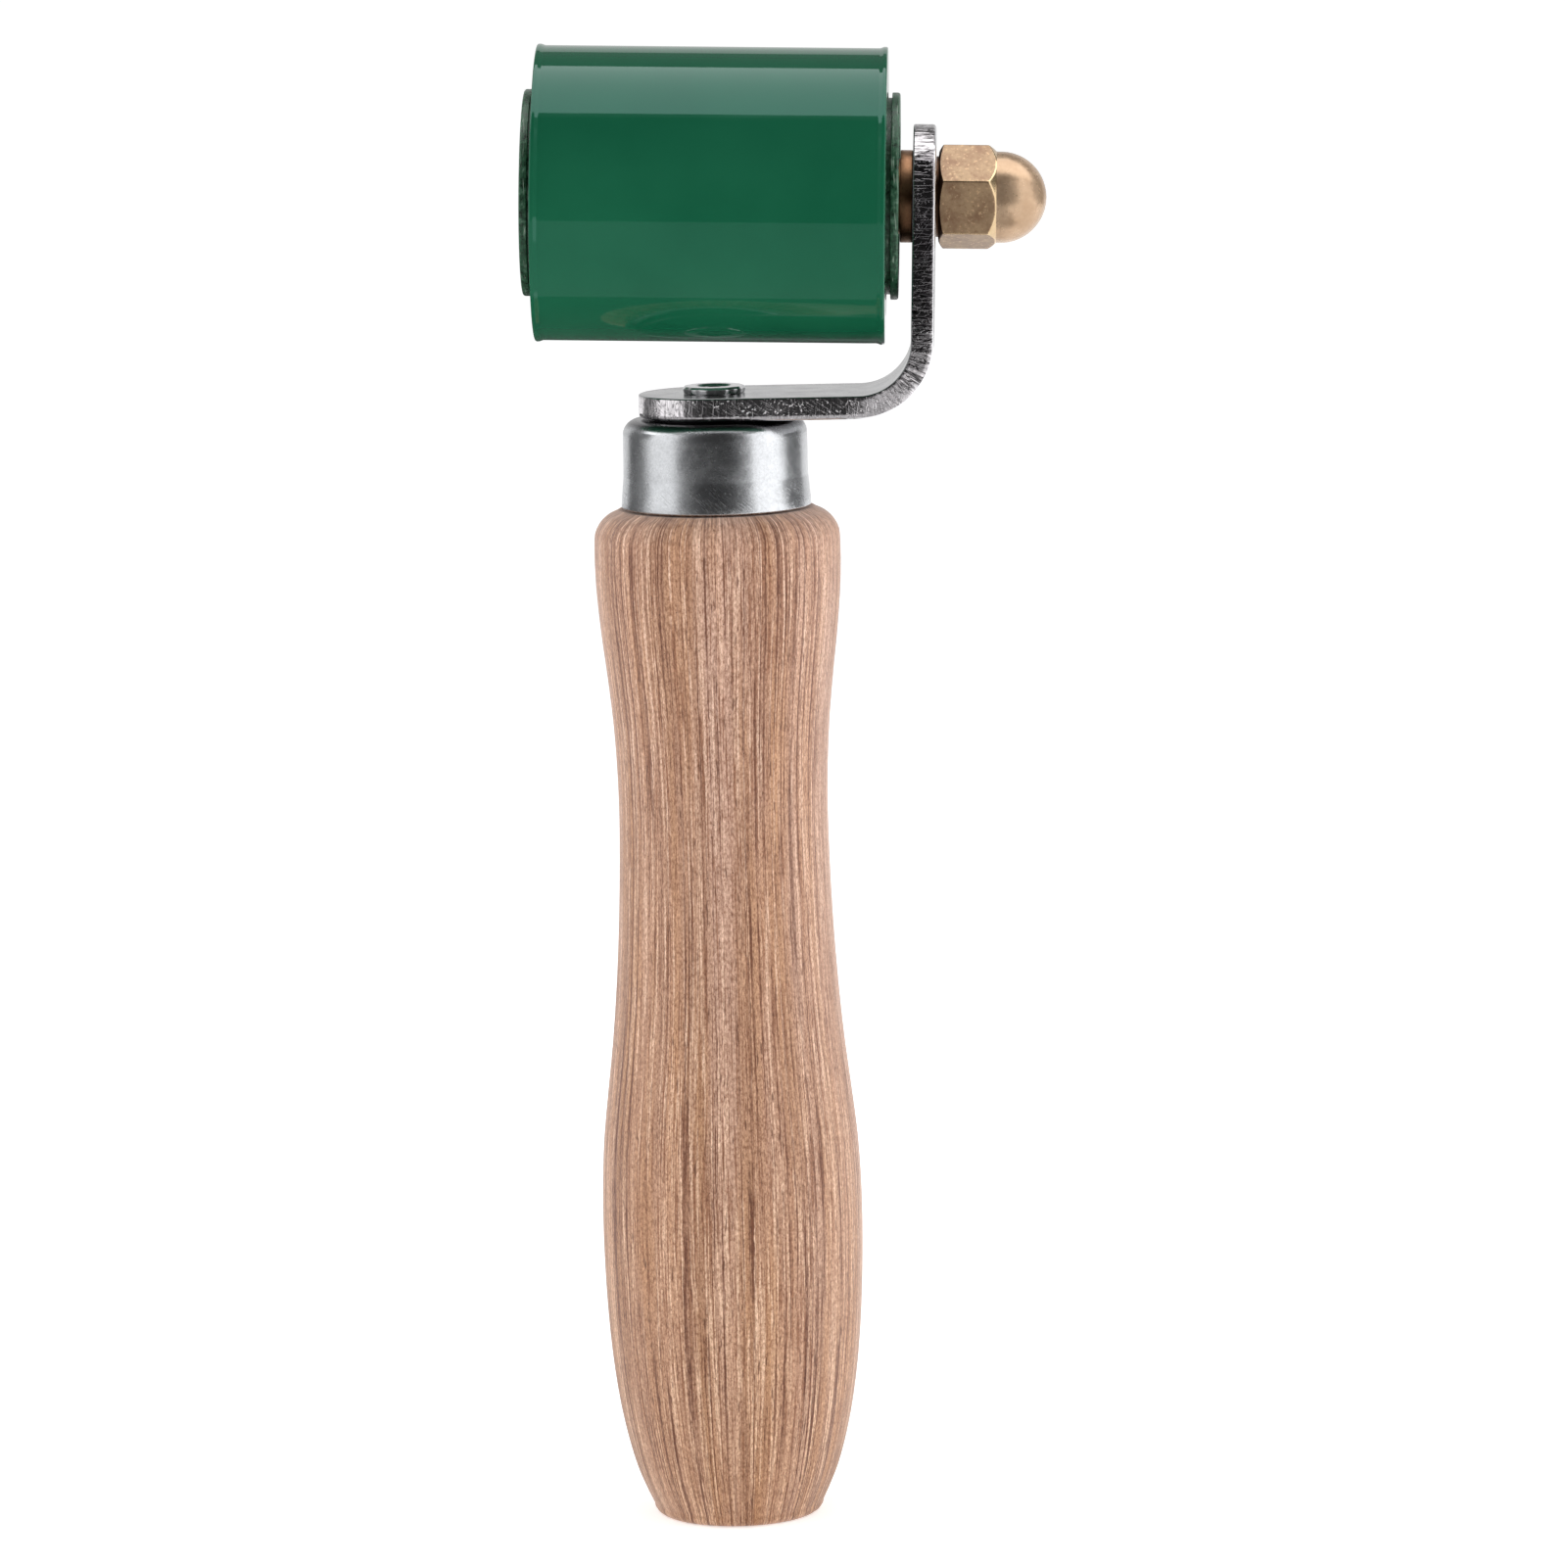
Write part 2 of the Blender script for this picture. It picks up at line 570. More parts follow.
def make_tang():
    low, high = TANG
    head_low = ARM_LEG_TOP + GAP
    head = high.x + HEAD_SPREAD
    corners = [(0, low.z, 0), (TANG_POINT, low.z, 0.2)]
    for number in range(BARBS):
        height = low.z + FIRST_BARB + number * BARB_PITCH
        corners += [(BARB_ROOT, height, 0), (TANG_RADIUS, height + 0.75 * BARB_PITCH, 0)]
    corners += [
        (TANG_RADIUS, head_low, 0), (head - 0.1, head_low, 0.08), (head, high.z - 0.3, 0.15),
        (head - 0.22, high.z - 0.02, 0.12), (HEAD_HOLE + 0.22, high.z, 0.1),
        (HEAD_HOLE, high.z - 0.3, 0.15), (HEAD_HOLE - 0.23, high.z - 3.2, 0.3),
        (0, high.z - 3.6, 0),
    ]

    def crimped(radius, angle):
        """The rolled head is pressed into shallow lobes."""
        outward = max(radius - head + LOBED_RIM, 0) / LOBED_RIM
        return radius - LOBE_DEPTH * outward * (1 - math.cos(HEAD_LOBES * angle)) / 2

    piece = turned("tang_and_rivet_head", corners, UPRIGHT, 176, steps=5, radius_at=crimped)
    finish_piece(piece, "handle_frame", "tang_rivet", "arm_steel",
                 plated_look("rivet_steel", srgb(226, 226, 228), 0.14, 0.24, 0.02, 0.92),
                 plated_look("rivet_bore", srgb(58, 56, 55), 0.4, 0.5, 0.02))
    for polygon in piece.data.polygons:
        centre = polygon.center / MM
        if centre.z > head_low and math.hypot(centre.x, centre.y) < HEAD_HOLE:
            polygon.material_index = 1


# ------------------------ arm
STRIP = 2.6             # thickness of the strip
BEND = 8.7              # outer radius of its bend
ARM_LEG_TOP = ARM[0].z + STRIP
ARM_FACE = along_axle("bracket_arm")[1]
HALF_WIDTH = ARM[1].y
TUCK = 0.5              # how far bending draws in the outside of the corner
EDGE_STEP = 0.16        # spacing of the points round the strip's outline
EDGE_ROWS = 9           # rows of points through the sheared edge
TORN_RIM = 0.2          # only points less than this far in from the outline are torn


def strip_path():
    """The strip's middle line by length, its whole length, and the bend's share by length."""
    middle = BEND - STRIP / 2
    leg_z = ARM[0].z + STRIP / 2
    axle_x, axle_z = SPIN["pos_m"][0] / MM, SPIN["pos_m"][2] / MM
    centre_z = ARM[0].z + BEND
    centre_x = axle_x + (ARM_FACE - BEND + (centre_z - axle_z) * math.sin(LEAN)) / math.cos(LEAN)
    leg = centre_x - ARM[0].x
    sweep = math.pi / 2 - LEAN
    bend = middle * sweep
    up = Vector((math.sin(LEAN), 0, math.cos(LEAN)))
    out = Vector((math.cos(LEAN), 0, -math.sin(LEAN)))
    arm_start = Vector((centre_x, 0, centre_z)) + out * middle
    top = Vector((axle_x, 0, axle_z)) + out * (ARM_FACE - STRIP / 2) + up * HALF_WIDTH
    total = leg + bend + (top - arm_start).dot(up)

    def at(s):
        """The point at length s and the direction towards the strip's inner face."""
        if s < leg:
            return Vector((ARM[0].x + s, 0, leg_z)), Vector((0, 0, 1))
        if s < leg + bend:
            turn = (s - leg) / middle
            radial = Vector((math.sin(turn), 0, -math.cos(turn)))
            return Vector((centre_x, 0, centre_z)) + radial * middle, -radial
        return arm_start + up * (s - leg - bend), -out

    def bend_share(s):
        """1 in the middle of the bend, falling to 0 just past its ends."""
        reach = bend / 2 + 1.5
        return max(math.cos(min(abs(s - leg - bend / 2) / reach, 1) * math.pi / 2), 0)

    return at, total, bend_share


def strip_outline(total):
    """One side of the strip and its whole outline, as (s, w, inward s, inward w) points."""
    half = HALF_WIDTH
    arc = []
    arc_steps = int(math.pi / 2 * half / EDGE_STEP)
    for k in range(arc_steps + 1):
        a = math.pi / 2 * k / arc_steps
        arc.append((half * (1 - math.cos(a)), half * math.sin(a), math.cos(a), -math.sin(a)))
    straight = total - 2 * half
    count = int(straight / EDGE_STEP)
    side = arc + [(half + straight * k / count, half, 0.0, -1.0) for k in range(1, count)]
    side += [(total - s, w, -ns, nw) for s, w, ns, nw in reversed(arc)]
    return side, side + [(s, -w, ns, -nw) for s, w, ns, nw in reversed(side[1:-1])]


def edge_levels():
    """Across the sheared edge: how far in from the outline, and how far through the strip."""
    upper, lower = STRIP / 2, -STRIP / 2
    levels = [(1.2, lower), (0.40, lower), (0.21, lower + 0.06), (0.09, lower + 0.17)]
    for row in range(EDGE_ROWS):
        levels.append((0.0, lower + 0.4 + (STRIP - 0.6) * row / (EDGE_ROWS - 1)))
    return levels + [(0.02, upper - 0.1), (0.09, upper - 0.03), (0.2, upper), (1.2, upper)]


def torn_depth(s, through, w):
    """How far the shear has torn this point of the edge inward: ribs across it, and crumbs."""
    ribs = noise.noise(Vector((s * 1.7, through * 0.2, math.copysign(5, w))))
    crumbs = noise.noise(Vector((s * 4.0, through * 2.0, w)))
    return max(0.03 * ribs + 0.014 * crumbs + 0.02, 0.0)


def make_arm():
    at, total, bend_share = strip_path()
    side, loop = strip_outline(total)
    levels = edge_levels()
    verts = []
    for depth, through in levels:
        for s, w, ns, nw in loop:
            torn = torn_depth(s, through, w) if depth < TORN_RIM else 0.0
            # Bending draws the outside of the corner in and leaves its edge slanted.
            slant = TUCK * bend_share(s) * (0.5 - through / STRIP)
            inward = depth + torn + slant
            spot, normal = at(s + ns * inward)
            point = spot + normal * through
            point.y = w + nw * inward
            verts.append(point)

    size = len(loop)
    faces = []
    for base in range(0, (len(levels) - 1) * size, size):
        for k in range(size):
            m = (k + 1) % size
            faces.append((base + k, base + m, base + size + m, base + size + k))
    for base in (0, (len(levels) - 1) * size):
        for k in range(len(side) - 1):
            right, right_next = (size - k) % size, (size - k - 1) % size
            face = [base + k, base + k + 1, base + right_next, base + right]
            faces.append(list(dict.fromkeys(face)))
    piece = place("bent_arm", verts, faces, UPRIGHT, 60)

    runs = [0.0]
    for (s0, w0, *_), (s1, w1, *_) in zip(loop, loop[1:]):
        runs.append(runs[-1] + math.hypot(s1 - s0, w1 - w0))
    layer = piece.data.uv_layers.new(name="along_and_through")
    for corner in piece.data.loops:
        level, k = divmod(corner.vertex_index, size)
        layer.data[corner.index].uv = (runs[k], levels[level][1])
    finish_piece(piece, "handle_frame", "bracket_arm", "arm_steel",
                 plated_look("strip_faces", srgb(146, 146, 148), 0.12, 0.22, 0.06),
                 sheared_look(),
                 plated_look("rolled_edge", srgb(240, 240, 242), 0.1, 0.2, 0.006))
    # Rows 1 and 2 are the rolled lower edge. The rows over them are sheared, up to the rim.
    for polygon in piece.data.polygons:
        level = polygon.index // size
        if 2 < level < len(levels) - 4:
            polygon.material_index = 1
        elif 0 < level <= 2:
            polygon.material_index = 2


# ------------------------ roller
LIP_HEIGHT = 0.16       # the sleeve's cut ends stand a little proud
LIP_WIDTH = 0.9
GROOVE_WIDTH = 0.5      # the grooves in the core beside the sleeve
GROOVE_DEPTH = 0.6
CORE_BORE = 7.0         # between the bearings
CORE_RADIUS = along_axle("roller_core")[2]


def make_sleeve():
    low, high, radius = along_axle("silicone_sleeve")
    radius -= INSET
    inner = CORE_RADIUS + GAP
    barrel = radius - LIP_HEIGHT
    corners = [(inner, low, 0.15), (radius, low, 0.2), (radius, low + LIP_WIDTH / 2, 0.3),
               (barrel, low + LIP_WIDTH, 0.5), (barrel, high - LIP_WIDTH, 0.5),
               (radius, high - LIP_WIDTH / 2, 0.3), (radius, high, 0.2), (inner, high, 0.15)]
    piece = turned("silicone_sleeve_fine", corners, ALONG_AXLE, 256, closed=True, steps=6)
    finish_piece(piece, "roller", "silicone_sleeve", "silicone", silicone_look())


def make_core():
    low, high, radius = along_axle("roller_core")
    low += INSET
    sleeve_low, sleeve_high, _ = along_axle("silicone_sleeve")
    left_end, right_end = sleeve_low - GAP, sleeve_high + GAP
    deep = radius - GROOVE_DEPTH
    seat = along_axle("outer_race_left")[2] + GAP
    left_seat = along_axle("outer_race_left")[1] + GAP
    right_seat = along_axle("outer_race_right")[0] - GAP
    corners = [
        (seat, low, 0.15), (radius, low, 0.28), (radius, left_end - GROOVE_WIDTH, 0.08),
        (deep, left_end - GROOVE_WIDTH, 0), (deep, left_end, 0), (radius, left_end, 0),
        (radius, right_end, 0), (deep, right_end, 0), (deep, right_end + GROOVE_WIDTH, 0),
        (radius, right_end + GROOVE_WIDTH, 0.08), (radius, high, 0.28), (seat, high, 0.15),
        (seat, right_seat, 0), (CORE_BORE, right_seat, 0),
        (CORE_BORE, left_seat, 0), (seat, left_seat, 0),
    ]
    piece = turned("coated_core", corners, ALONG_AXLE, 192, closed=True)
    finish_piece(piece, "roller", "roller_core", "core", core_look())


# ------------------------ axle pieces
NUT_FLATS = 10.6
NUT_TURN = math.radians(9.5)
NUT_BORE = 3.25
WASHER = 0.25           # thickness of the washer face under the nut
WASHER_RADIUS = 4.6
HEX_HEIGHT = 6.85       # from the washer face to the hexagon's end
DOME = 5.2              # radius of the dome
HEX_EDGE = 0.16
CHAMFERED = 0.4         # faces that turn this much along the axle are chamfer
EDGE_TURN = math.radians(8)     # faces turned this much from a flat are its polished edge
SIXTH = math.pi / 3
BOLT_FLATS = 10.0
BOLT_SHANK = 2.95
BOLT_HEAD = 5.9         # radius its head is turned to before the flats are cut
BEARING_BORE = 3.0
COLLAR_NECK = 4.3       # radius of the part of the collar inside the core


def soft_min(a, b, width):
    """The smaller of two, with the change-over rounded."""
    overlap = max(width - abs(a - b), 0) / width
    return min(a, b) - overlap * overlap * width / 4


def hexed(flats, turn):
    """For turned_rings: keeps a ring inside a hexagon with rounded corners."""
    def radius_at(radius, angle):
        beside = (angle - turn) % SIXTH - SIXTH / 2
        near = flats / 2 / math.cos(beside)
        other = flats / 2 / math.cos(SIXTH - abs(beside))
        return soft_min(radius, soft_min(near, other, HEX_EDGE), HEX_EDGE)

    return radius_at


def dense(corners, spacing):
    """Extra corners along the straight stretches, so that no two are far apart."""
    result = []
    for (x0, y0, rounding), (x1, y1, _) in zip(corners, corners[1:]):
        result.append((x0, y0, rounding))
        parts = int(math.hypot(x1 - x0, y1 - y0) / spacing)
        for k in range(1, parts):
            result.append((x0 + (x1 - x0) * k / parts, y0 + (y1 - y0) * k / parts, 0))
    return result + [corners[-1]]


def make_nut():
    low, high, _ = along_axle("dome_nut")
    high -= INSET
    corner = NUT_FLATS / math.sqrt(3) + 0.1
    hex_end = low + HEX_HEIGHT
    centre = high - DOME
    # The blind bore is walked from its end to the open face, then the outside back over it.
    bore = [(0, low + 9.6), (NUT_BORE, low + 9.0), (NUT_BORE, low)]
    outside = dense([
        (WASHER_RADIUS, low, 0), (WASHER_RADIUS, low + WASHER, 0),
        (WASHER_RADIUS + 0.5, low + WASHER + 0.05, 0), (corner, low + WASHER + 0.6, 0),
        (corner, hex_end - 1.0, 0), (DOME + 0.02, hex_end, 0),
    ], spacing=0.09)
    dome = [(DOME, hex_end + 0.15, 0)]
    for degrees in range(0, 90, 4):
        a = math.radians(degrees)
        dome.append((DOME * math.cos(a), centre + DOME * math.sin(a), 0))
    dome.append((0, high, 0))

    rings = turned_rings(bore, 360)
    rings += turned_rings(round_corners(outside), 360, hexed(NUT_FLATS, NUT_TURN))
    rings += turned_rings(round_corners(dome), 360)
    verts, faces = skin(rings, False)
    piece = place("brass_dome_nut", verts, faces, ALONG_AXLE, 30)

    flats = brass_look("machined_brass", srgb(178, 148, 114), srgb(140, 106, 78), 0.7, 0.46, 0.75,
                       Coat_Weight=0.5, Coat_Roughness=0.25)
    dome_brass = brass_look("turned_brass", srgb(192, 163, 134), srgb(171, 141, 112), 0.62, 0.19)
    shaded = brass_look("tarnished_brass", srgb(104, 76, 56), srgb(74, 52, 38), 1.0, 0.4)
    edges = brass_look("polished_edges", srgb(214, 188, 150), srgb(196, 168, 130), 1.0, 0.12)
    finish_piece(piece, "handle_frame", "dome_nut", "brass", flats, dome_brass, shaded, edges)
    to_axle = ALONG_AXLE.inverted()
    turn_to_axle = to_axle.to_3x3()
    for polygon in piece.data.polygons:
        normal = (turn_to_axle @ polygon.normal).normalized()
        height = (to_axle @ polygon.center).z
        off_flat = (math.atan2(normal.y, normal.x) - NUT_TURN - SIXTH / 2) % SIXTH
        if height > hex_end + 0.01:
            polygon.material_index = 1
        elif height < low + WASHER + 0.04 or normal.z < -CHAMFERED:
            polygon.material_index = 2
        elif normal.z > CHAMFERED or EDGE_TURN < off_flat < SIXTH - EDGE_TURN:
            polygon.material_index = 3


def make_collar():
    low, high, radius = along_axle("brass_collar")
    step = along_axle("roller_core")[1] + 0.1
    corners = [(BEARING_BORE, low, 0), (COLLAR_NECK, low, 0.1), (COLLAR_NECK, step, 0),
               (radius, step, 0.12), (radius, high, 0.12), (BEARING_BORE, high, 0)]
    piece = turned("brass_collar_fine", corners, ALONG_AXLE, 128, closed=True)
    finish_piece(piece, "handle_frame", "brass_collar", "brass",
                 brass_look("collar_brass", srgb(162, 122, 92), srgb(122, 86, 62), 1.0, 0.3))


def make_bolt():
    low, high, _ = along_axle("axle_bolt")
    head_end = along_axle("inner_race_left")[0] - GAP
    corners = dense([(0, low, 0), (BOLT_HEAD - 1.2, low, 0), (BOLT_HEAD, low + 0.7, 0),
                     (BOLT_HEAD, head_end, 0), (BOLT_SHANK, head_end, 0)], spacing=0.12)
    corners += [(BOLT_SHANK, high - 0.6, 0), (BOLT_SHANK - 0.6, high, 0), (0, high, 0)]

    piece = turned("axle_bolt_fine", corners, ALONG_AXLE, 180, radius_at=hexed(BOLT_FLATS, 0))
    finish_piece(piece, "handle_frame", "axle_bolt", "plated_steel",
                 plated_look("plated_bolt", srgb(190, 192, 194), 0.2, 0.35, 0.02))


def make_tube():
    low, high, radius = along_axle("bearing_spacer")
    corners = [(BEARING_BORE, low, 0), (radius, low, 0.1), (radius, high, 0.1),
               (BEARING_BORE, high, 0)]
    piece = turned("bearing_spacer_fine", corners, ALONG_AXLE, 96, closed=True)
    finish_piece(piece, "handle_frame", "bearing_spacer", "arm_steel",
                 plated_look("tube_steel", srgb(150, 150, 152), 0.25, 0.4, 0.02))


# ------------------------ bearings
PITCH = 6.25            # radius of the ring of balls
BALL = 1.75
BALLS = 7
RACEWAY = 1.9
LAND = 1.35             # from the ring of balls to a race's land
SHIELD_RECESS = 0.4
SHIELD_GAP = 0.25
SHIELD_DISH = 0.12
CAGE_HALF = 0.65        # half the cage's wall
POCKET_GAP = 0.3


def raceway(from_degrees, to_degrees, centre, steps=12):
    """Corners round a race's groove, from one angle to another."""
    points = []
    for k in range(steps + 1):
        a = math.radians(from_degrees + (to_degrees - from_degrees) * k / steps)
        points.append((PITCH + RACEWAY * math.cos(a), centre + RACEWAY * math.sin(a), 0))
    return points


def make_races(side, steel):
    low, high, _ = along_axle("inner_race_" + side)
    centre = (low + high) / 2
    reach = math.degrees(math.acos(LAND / RACEWAY))
    inner = [(BEARING_BORE, low, 0.15), (PITCH - LAND, low, 0.15)]
    inner += raceway(180 + reach, 180 - reach, centre)
    inner += [(PITCH - LAND, high, 0.15), (BEARING_BORE, high, 0.15)]
    piece = turned("inner_race_fine_" + side, inner, ALONG_AXLE, 128, closed=True)
    finish_piece(piece, "handle_frame", "inner_race_" + side, "bearing_steel", steel)

    radius = along_axle("outer_race_" + side)[2]
    land, floor = PITCH + LAND, SHIELD_RECESS
    recess = land + SHIELD_RECESS
    outer = [(recess, low, 0.05), (radius, low, 0.25), (radius, high, 0.25), (recess, high, 0.05),
             (recess, high - floor, 0), (land, high - floor, 0)]
    outer += raceway(reach, -reach, centre)
    outer += [(land, low + floor, 0), (recess, low + floor, 0)]
    piece = turned("outer_race_fine_" + side, outer, ALONG_AXLE, 128, closed=True)
    finish_piece(piece, "roller", "outer_race_" + side, "bearing_steel", steel)


def make_shield(node, steel):
    low, high, radius = along_axle(node)
    inner = PITCH - LAND + SHIELD_GAP
    outward = 1 if "right_outboard" in node or "left_inboard" in node else -1
    front, back = (high, low) if outward > 0 else (low, high)
    dish = SHIELD_DISH * outward
    corners = [(inner, back, 0), (inner, front - dish, 0.05), (inner + 0.5, front - dish, 0.2),
               (inner + 0.9, front, 0.2), (radius - 0.25, front, 0.1), (radius, front - dish, 0),
               (radius, back, 0)]
    piece = turned(node + "_fine", corners, ALONG_AXLE, 128, closed=True)
    finish_piece(piece, "roller", node, "bearing_steel", steel)


def make_cage(side, plastic):
    """Crown cage: a band, with a U-shaped pocket open to one side round each ball."""
    node = "cage_" + side
    low, high, _ = along_axle(node)
    race_low, race_high, _ = along_axle("inner_race_" + side)
    centre = (race_low + race_high) / 2
    inner, outer = PITCH - CAGE_HALF, PITCH + CAGE_HALF
    pocket = BALL + POCKET_GAP
    segments = 420
    rings = [[] for _ in range(4)]
    for k in range(segments):
        angle = 2 * math.pi * k / segments
        nearest = round(angle * BALLS / (2 * math.pi)) * 2 * math.pi / BALLS
        aside = abs(PITCH * math.sin(angle - nearest))
        near_ball = abs(angle - nearest) < math.pi / BALLS and aside < pocket
        edge = centre + math.sqrt(pocket**2 - aside**2) if near_ball else low
        # Local X points down, so the first ball sits at the half turn.
        c, s = -math.cos(angle), -math.sin(angle)
        for ring, radius, height in zip(rings, (inner, outer, outer, inner),
                                        (edge, edge, high, high)):
            ring.append(Vector((radius * c, radius * s, height)))
    verts, faces = skin(rings, True)
    piece = place(node + "_fine", verts, faces, ALONG_AXLE, 35)
    finish_piece(piece, "cage_set_" + side, node, "cage", plastic)


def make_ball(node, body, steel):
    low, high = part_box(node)
    work = bmesh.new()
    bmesh.ops.create_icosphere(work, subdivisions=4, radius=BALL * MM)
    bmesh.ops.translate(work, verts=work.verts, vec=(low + high) / 2)
    mesh = bpy.data.meshes.new(node)
    work.to_mesh(mesh)
    work.free()
    mesh.shade_smooth()
    piece = linked(node + "_fine", mesh)
    finish_piece(piece, body, node, "bearing_steel", steel)


def make_bearings():
    steel = plated_look("bearing_steel", srgb(200, 202, 204), 0.1, 0.2, 0.006)
    plastic = cage_look()
    for side in ("left", "right"):
        make_races(side, steel)
        make_shield(f"shield_{side}_outboard", steel)
        make_shield(f"shield_{side}_inboard", steel)
        make_cage(side, plastic)
        for number in range(1, BALLS + 1):
            make_ball(f"ball_{side}_{number}", "cage_set_" + side, steel)


# ------------------------ camera
CAMERA_AZIMUTH = 1.6


def make_camera():
    """The main view: from a little above, far away with a long lens."""
    image_pixels = 1601
    focal_pixels = 8000
    pitch, roll = math.radians(8.36), math.radians(-1.25)
    azimuth = math.radians(CAMERA_AZIMUTH)
    target = Vector((7.05, 0, 85.6)) * MM
    distance = 904.6 * MM
    forward = Vector((-math.sin(azimuth) * math.cos(pitch), math.cos(azimuth) * math.cos(pitch),
                      -math.sin(pitch)))
    right = forward.cross(Vector((0, 0, 1))).normalized()
    up = right.cross(forward)
    tilted_right = right * math.cos(roll) + up * math.sin(roll)
    tilted_up = up * math.cos(roll) - right * math.sin(roll)
    data = bpy.data.cameras.new("camera")
    data.sensor_width = 36
    data.lens = data.sensor_width * focal_pixels / image_pixels
    data.clip_start, data.clip_end = 0.01, 100
    camera = linked("camera", data)
    turn = Matrix((tilted_right, tilted_up, -forward)).transposed().to_4x4()
    camera.matrix_world = Matrix.Translation(target - forward * distance) @ turn
    bpy.context.scene.camera = camera


# ------------------------ studio
def glow_material(name, strength, stops):
    """A plain white glow. stops, when given, are (share of the width, grey) across it."""
    material = bpy.data.materials.new(name)
    material.use_nodes = True
    tree = material.node_tree
    tree.nodes.clear()
    out = tree.nodes.new("ShaderNodeOutputMaterial")
    glow = tree.nodes.new("ShaderNodeEmission")
    glow.inputs["Color"].default_value = WHITE
    glow.inputs["Strength"].default_value = strength
    tree.links.new(glow.outputs[0], out.inputs["Surface"])
    if stops:
        spot = tree.nodes.new("ShaderNodeTexCoord")
        ramp = tree.nodes.new("ShaderNodeValToRGB")
        across = tree.nodes.new("ShaderNodeSeparateXYZ")
        tree.links.new(spot.outputs["Generated"], across.inputs[0])
        tree.links.new(across.outputs["X"], ramp.inputs[0])
        fill_ramp(ramp, stops)
        tree.links.new(ramp.outputs[0], glow.inputs["Color"])
    return material


def sheet(name, corners, material):
    mesh = bpy.data.meshes.new(name)
    mesh.from_pydata(corners, [], [(0, 1, 2, 3)])
    mesh.materials.append(material)
    return linked(name, mesh)


def card(name, corners, strength, stops=(), diffuse=True, glossy=True):
    """A flat glowing card with these corners, which the camera doesn't see."""
    board = sheet(name, corners, glow_material(name, strength, stops))
    board.visible_camera = False
    board.visible_shadow = False
    board.visible_diffuse = diffuse
    board.visible_glossy = glossy


def panel(name, centre, normal, width, height, strength, **kinds):
    """A card given by its middle, the way it faces and its size."""
    across = Vector(normal).cross(Vector((0, 0, 1)))
    across = across.normalized() if across.length > 1e-3 else Vector((1, 0, 0))
    upward = across.cross(Vector(normal)).normalized()
    corners = [Vector(centre) + across * (sx * width / 2) + upward * (sy * height / 2)
               for sx, sy in ((-1, -1), (1, -1), (1, 1), (-1, 1))]
    card(name, corners, strength, **kinds)


def mat(name, near, far, left, right, strength):
    """A card just over the floor, seen in reflections. Its sides run away from the camera."""
    away = -math.tan(math.radians(CAMERA_AZIMUTH))
    lift = 0.0004
    corners = [(x + away * y, y, lift)
               for x, y in ((left, near), (right, near), (right, far), (left, far))]
    card(name, corners, strength, diffuse=False)


MIDDLE = Vector((0, 0, 0.12))


def beside(azimuth, distance):
    """A spot at this distance (metres) and azimuth from the tool's middle."""
    a = math.radians(azimuth)
    return MIDDLE + Vector((math.sin(a), -math.cos(a), 0)) * distance


def make_lights():
    """Softboxes at both sides, a long one overhead, a white wall behind, and side washes."""
    for name, azimuth, width, strength in (("left_softbox", -66, 0.6, 1.18),
                                           ("right_softbox", 70, 0.58, 1.55)):
        spot = beside(azimuth, 0.75)
        panel(name, spot, MIDDLE - spot, width=width, height=1.3, strength=strength)
    panel("overhead_softbox", (0, 0.055, 0.754), (0, 0, -1),
          width=2.4, height=0.59, strength=2.6, diffuse=False)
    panel("back_wall", (0, 1.6, 0.5), (0, -1, 0),
          width=5.0, height=1.34, strength=0.76, diffuse=False)
    # The washes brighten the rounded sides of the wood.
    for name, azimuth in (("left_wash", -98), ("right_wash", 92)):
        spot = beside(azimuth, 0.8)
        panel(name, spot, MIDDLE - spot, width=0.7, height=1.3, strength=3.0, glossy=False)


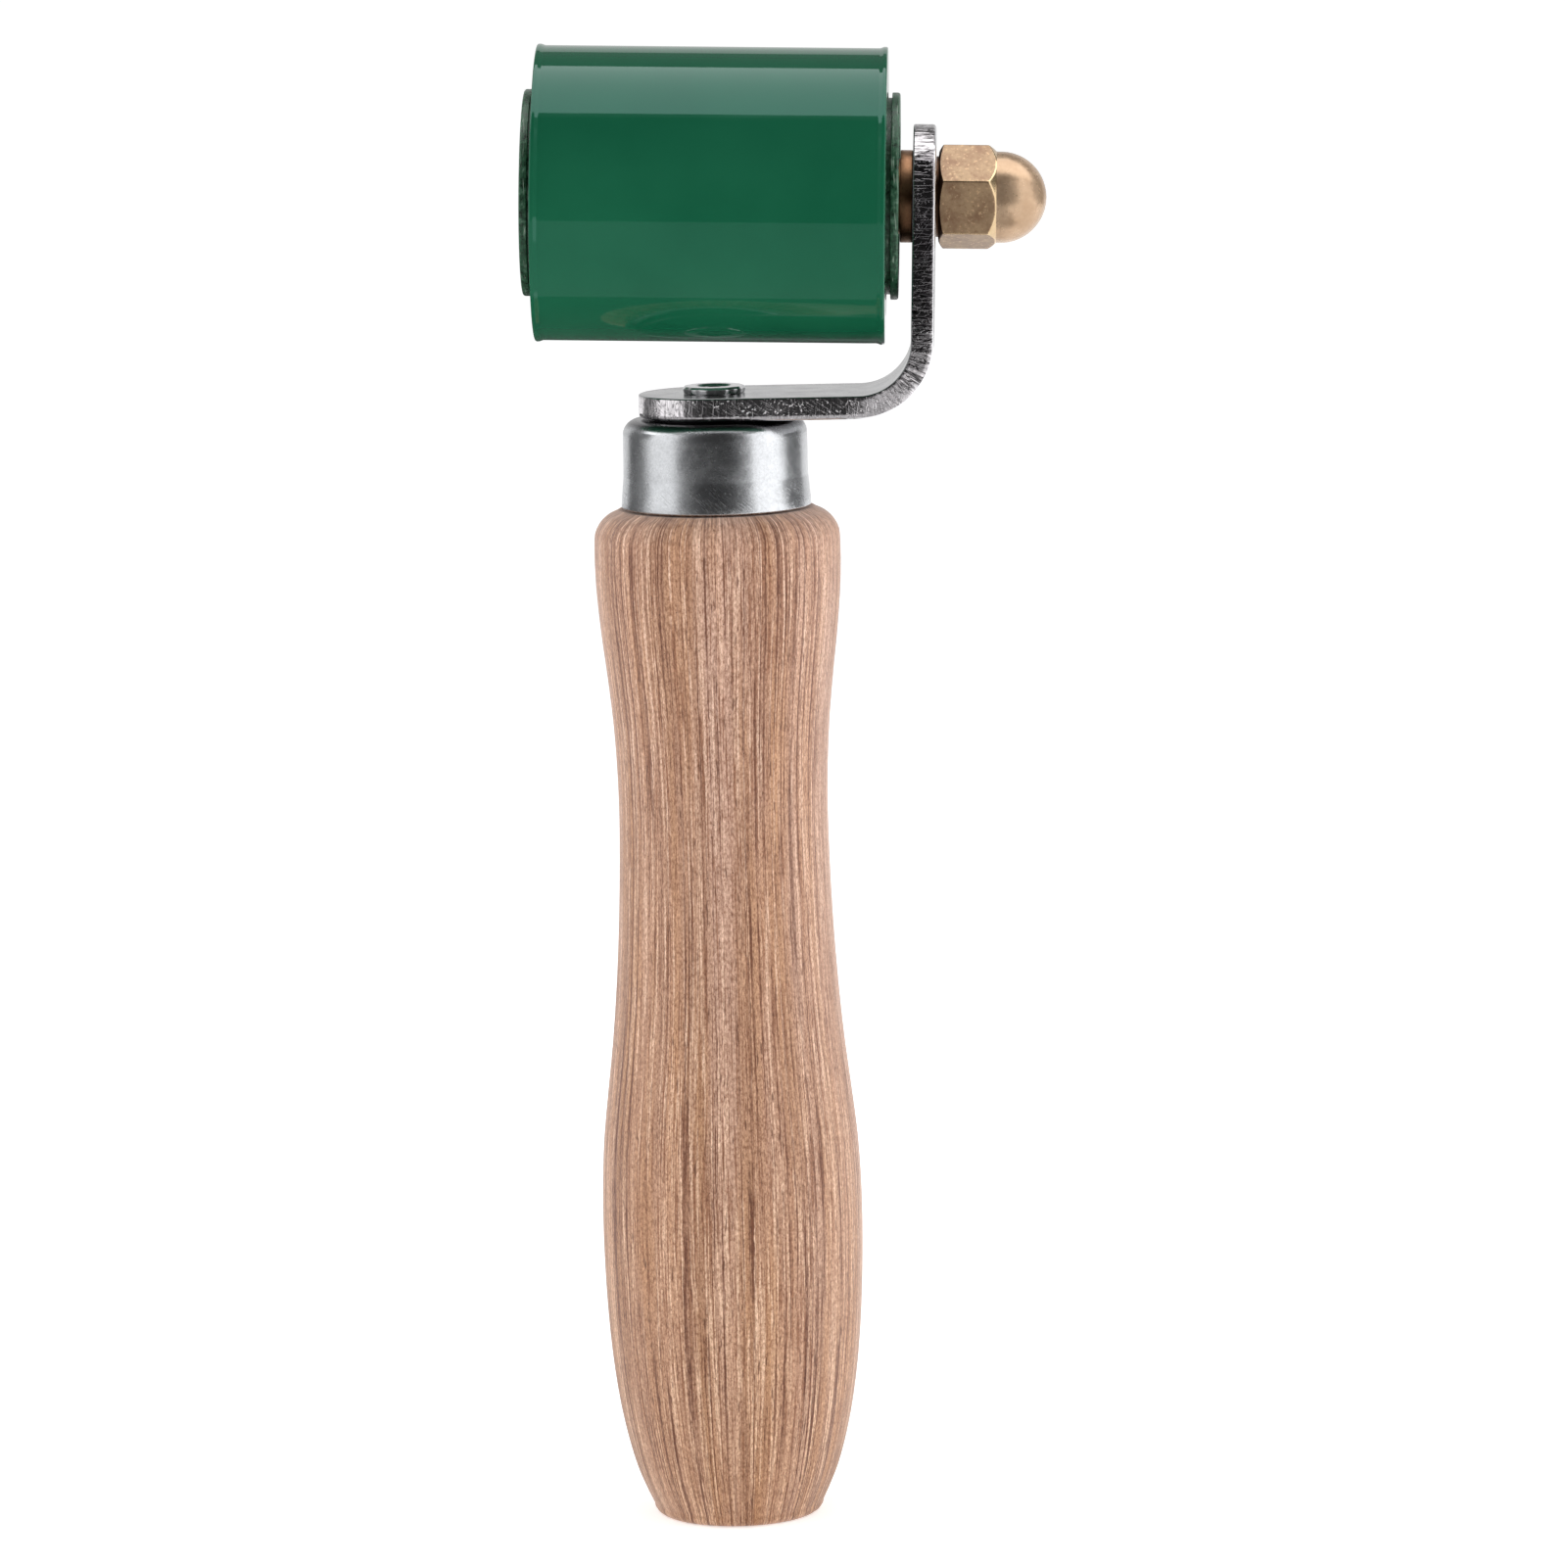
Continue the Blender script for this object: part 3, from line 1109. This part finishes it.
def make_surroundings():
    """Seen only in reflections: the room behind the camera, dark gaps and a dim floor."""
    # The room behind the camera lightens towards the softboxes.
    flag = 1.11
    room = [(x / flag + 0.5, glow) for x, glow in (
        (-0.55, 0.55), (-0.435, 0.26), (-0.35, 0.13), (-0.19, 0.045), (0.0, 0.03),
        (0.20, 0.045), (0.337, 0.11), (0.42, 0.2), (0.536, 0.6))]
    panel("front_flag", (0, -0.5, 0.5), (0, 1, 0),
          width=flag, height=1.5, strength=1.0, stops=room, diffuse=False)
    for name, azimuth in (("left_gap", -115), ("right_gap", 118)):
        spot = beside(azimuth, 0.7)
        panel(name, spot, MIDDLE - spot, width=0.46, height=0.7, strength=0.15, diffuse=False)
    # The floor is dimmer in front of the tool, and dark behind it.
    edge, front, rear, side = -0.027, -1.0, 0.9, 1.2
    mat("front_mat", front, edge, left=-side, right=0.12, strength=0.48)
    mat("rear_mat", edge, rear, left=-side, right=0.0235, strength=0.1)


def make_floor():
    look = Look("pale_floor", Roughness=0.9, Base_Color=(0.88, 0.88, 0.88, 1))
    look.set(Emission_Color=WHITE, Emission_Strength=0.44, Specular_IOR_Level=0.0)
    reach = 6
    corners = [(-reach, -reach, 0), (reach, -reach, 0), (reach, reach, 0), (-reach, reach, 0)]
    floor = sheet("floor", corners, look.material)


def make_world():
    """An even white fill, dimmer in reflections and plain white to the camera."""
    world = bpy.data.worlds.new("studio")
    world.use_nodes = True
    bpy.context.scene.world = world
    tree = world.node_tree
    path = tree.nodes.new("ShaderNodeLightPath")
    fill = tree.nodes["Background"]
    fill.inputs["Color"].default_value = WHITE
    fill.inputs["Strength"].default_value = 0.66
    lit = fill.outputs[0]
    for ray, strength in (("Is Glossy Ray", 0.22), ("Is Camera Ray", 1.0)):
        other = tree.nodes.new("ShaderNodeBackground")
        other.inputs["Color"].default_value = WHITE
        other.inputs["Strength"].default_value = strength
        mix = tree.nodes.new("ShaderNodeMixShader")
        tree.links.new(path.outputs[ray], mix.inputs[0])
        tree.links.new(lit, mix.inputs[1])
        tree.links.new(other.outputs[0], mix.inputs[2])
        lit = mix.outputs[0]
    tree.links.new(lit, tree.nodes["World Output"].inputs["Surface"])
    bpy.context.scene.view_settings.view_transform = "Standard"


make_camera()
make_lights()
make_surroundings()
make_floor()
make_world()
make_handle()
make_ferrule()
make_tang()
make_arm()
make_sleeve()
make_core()
make_nut()
make_collar()
make_bolt()
make_tube()
make_bearings()
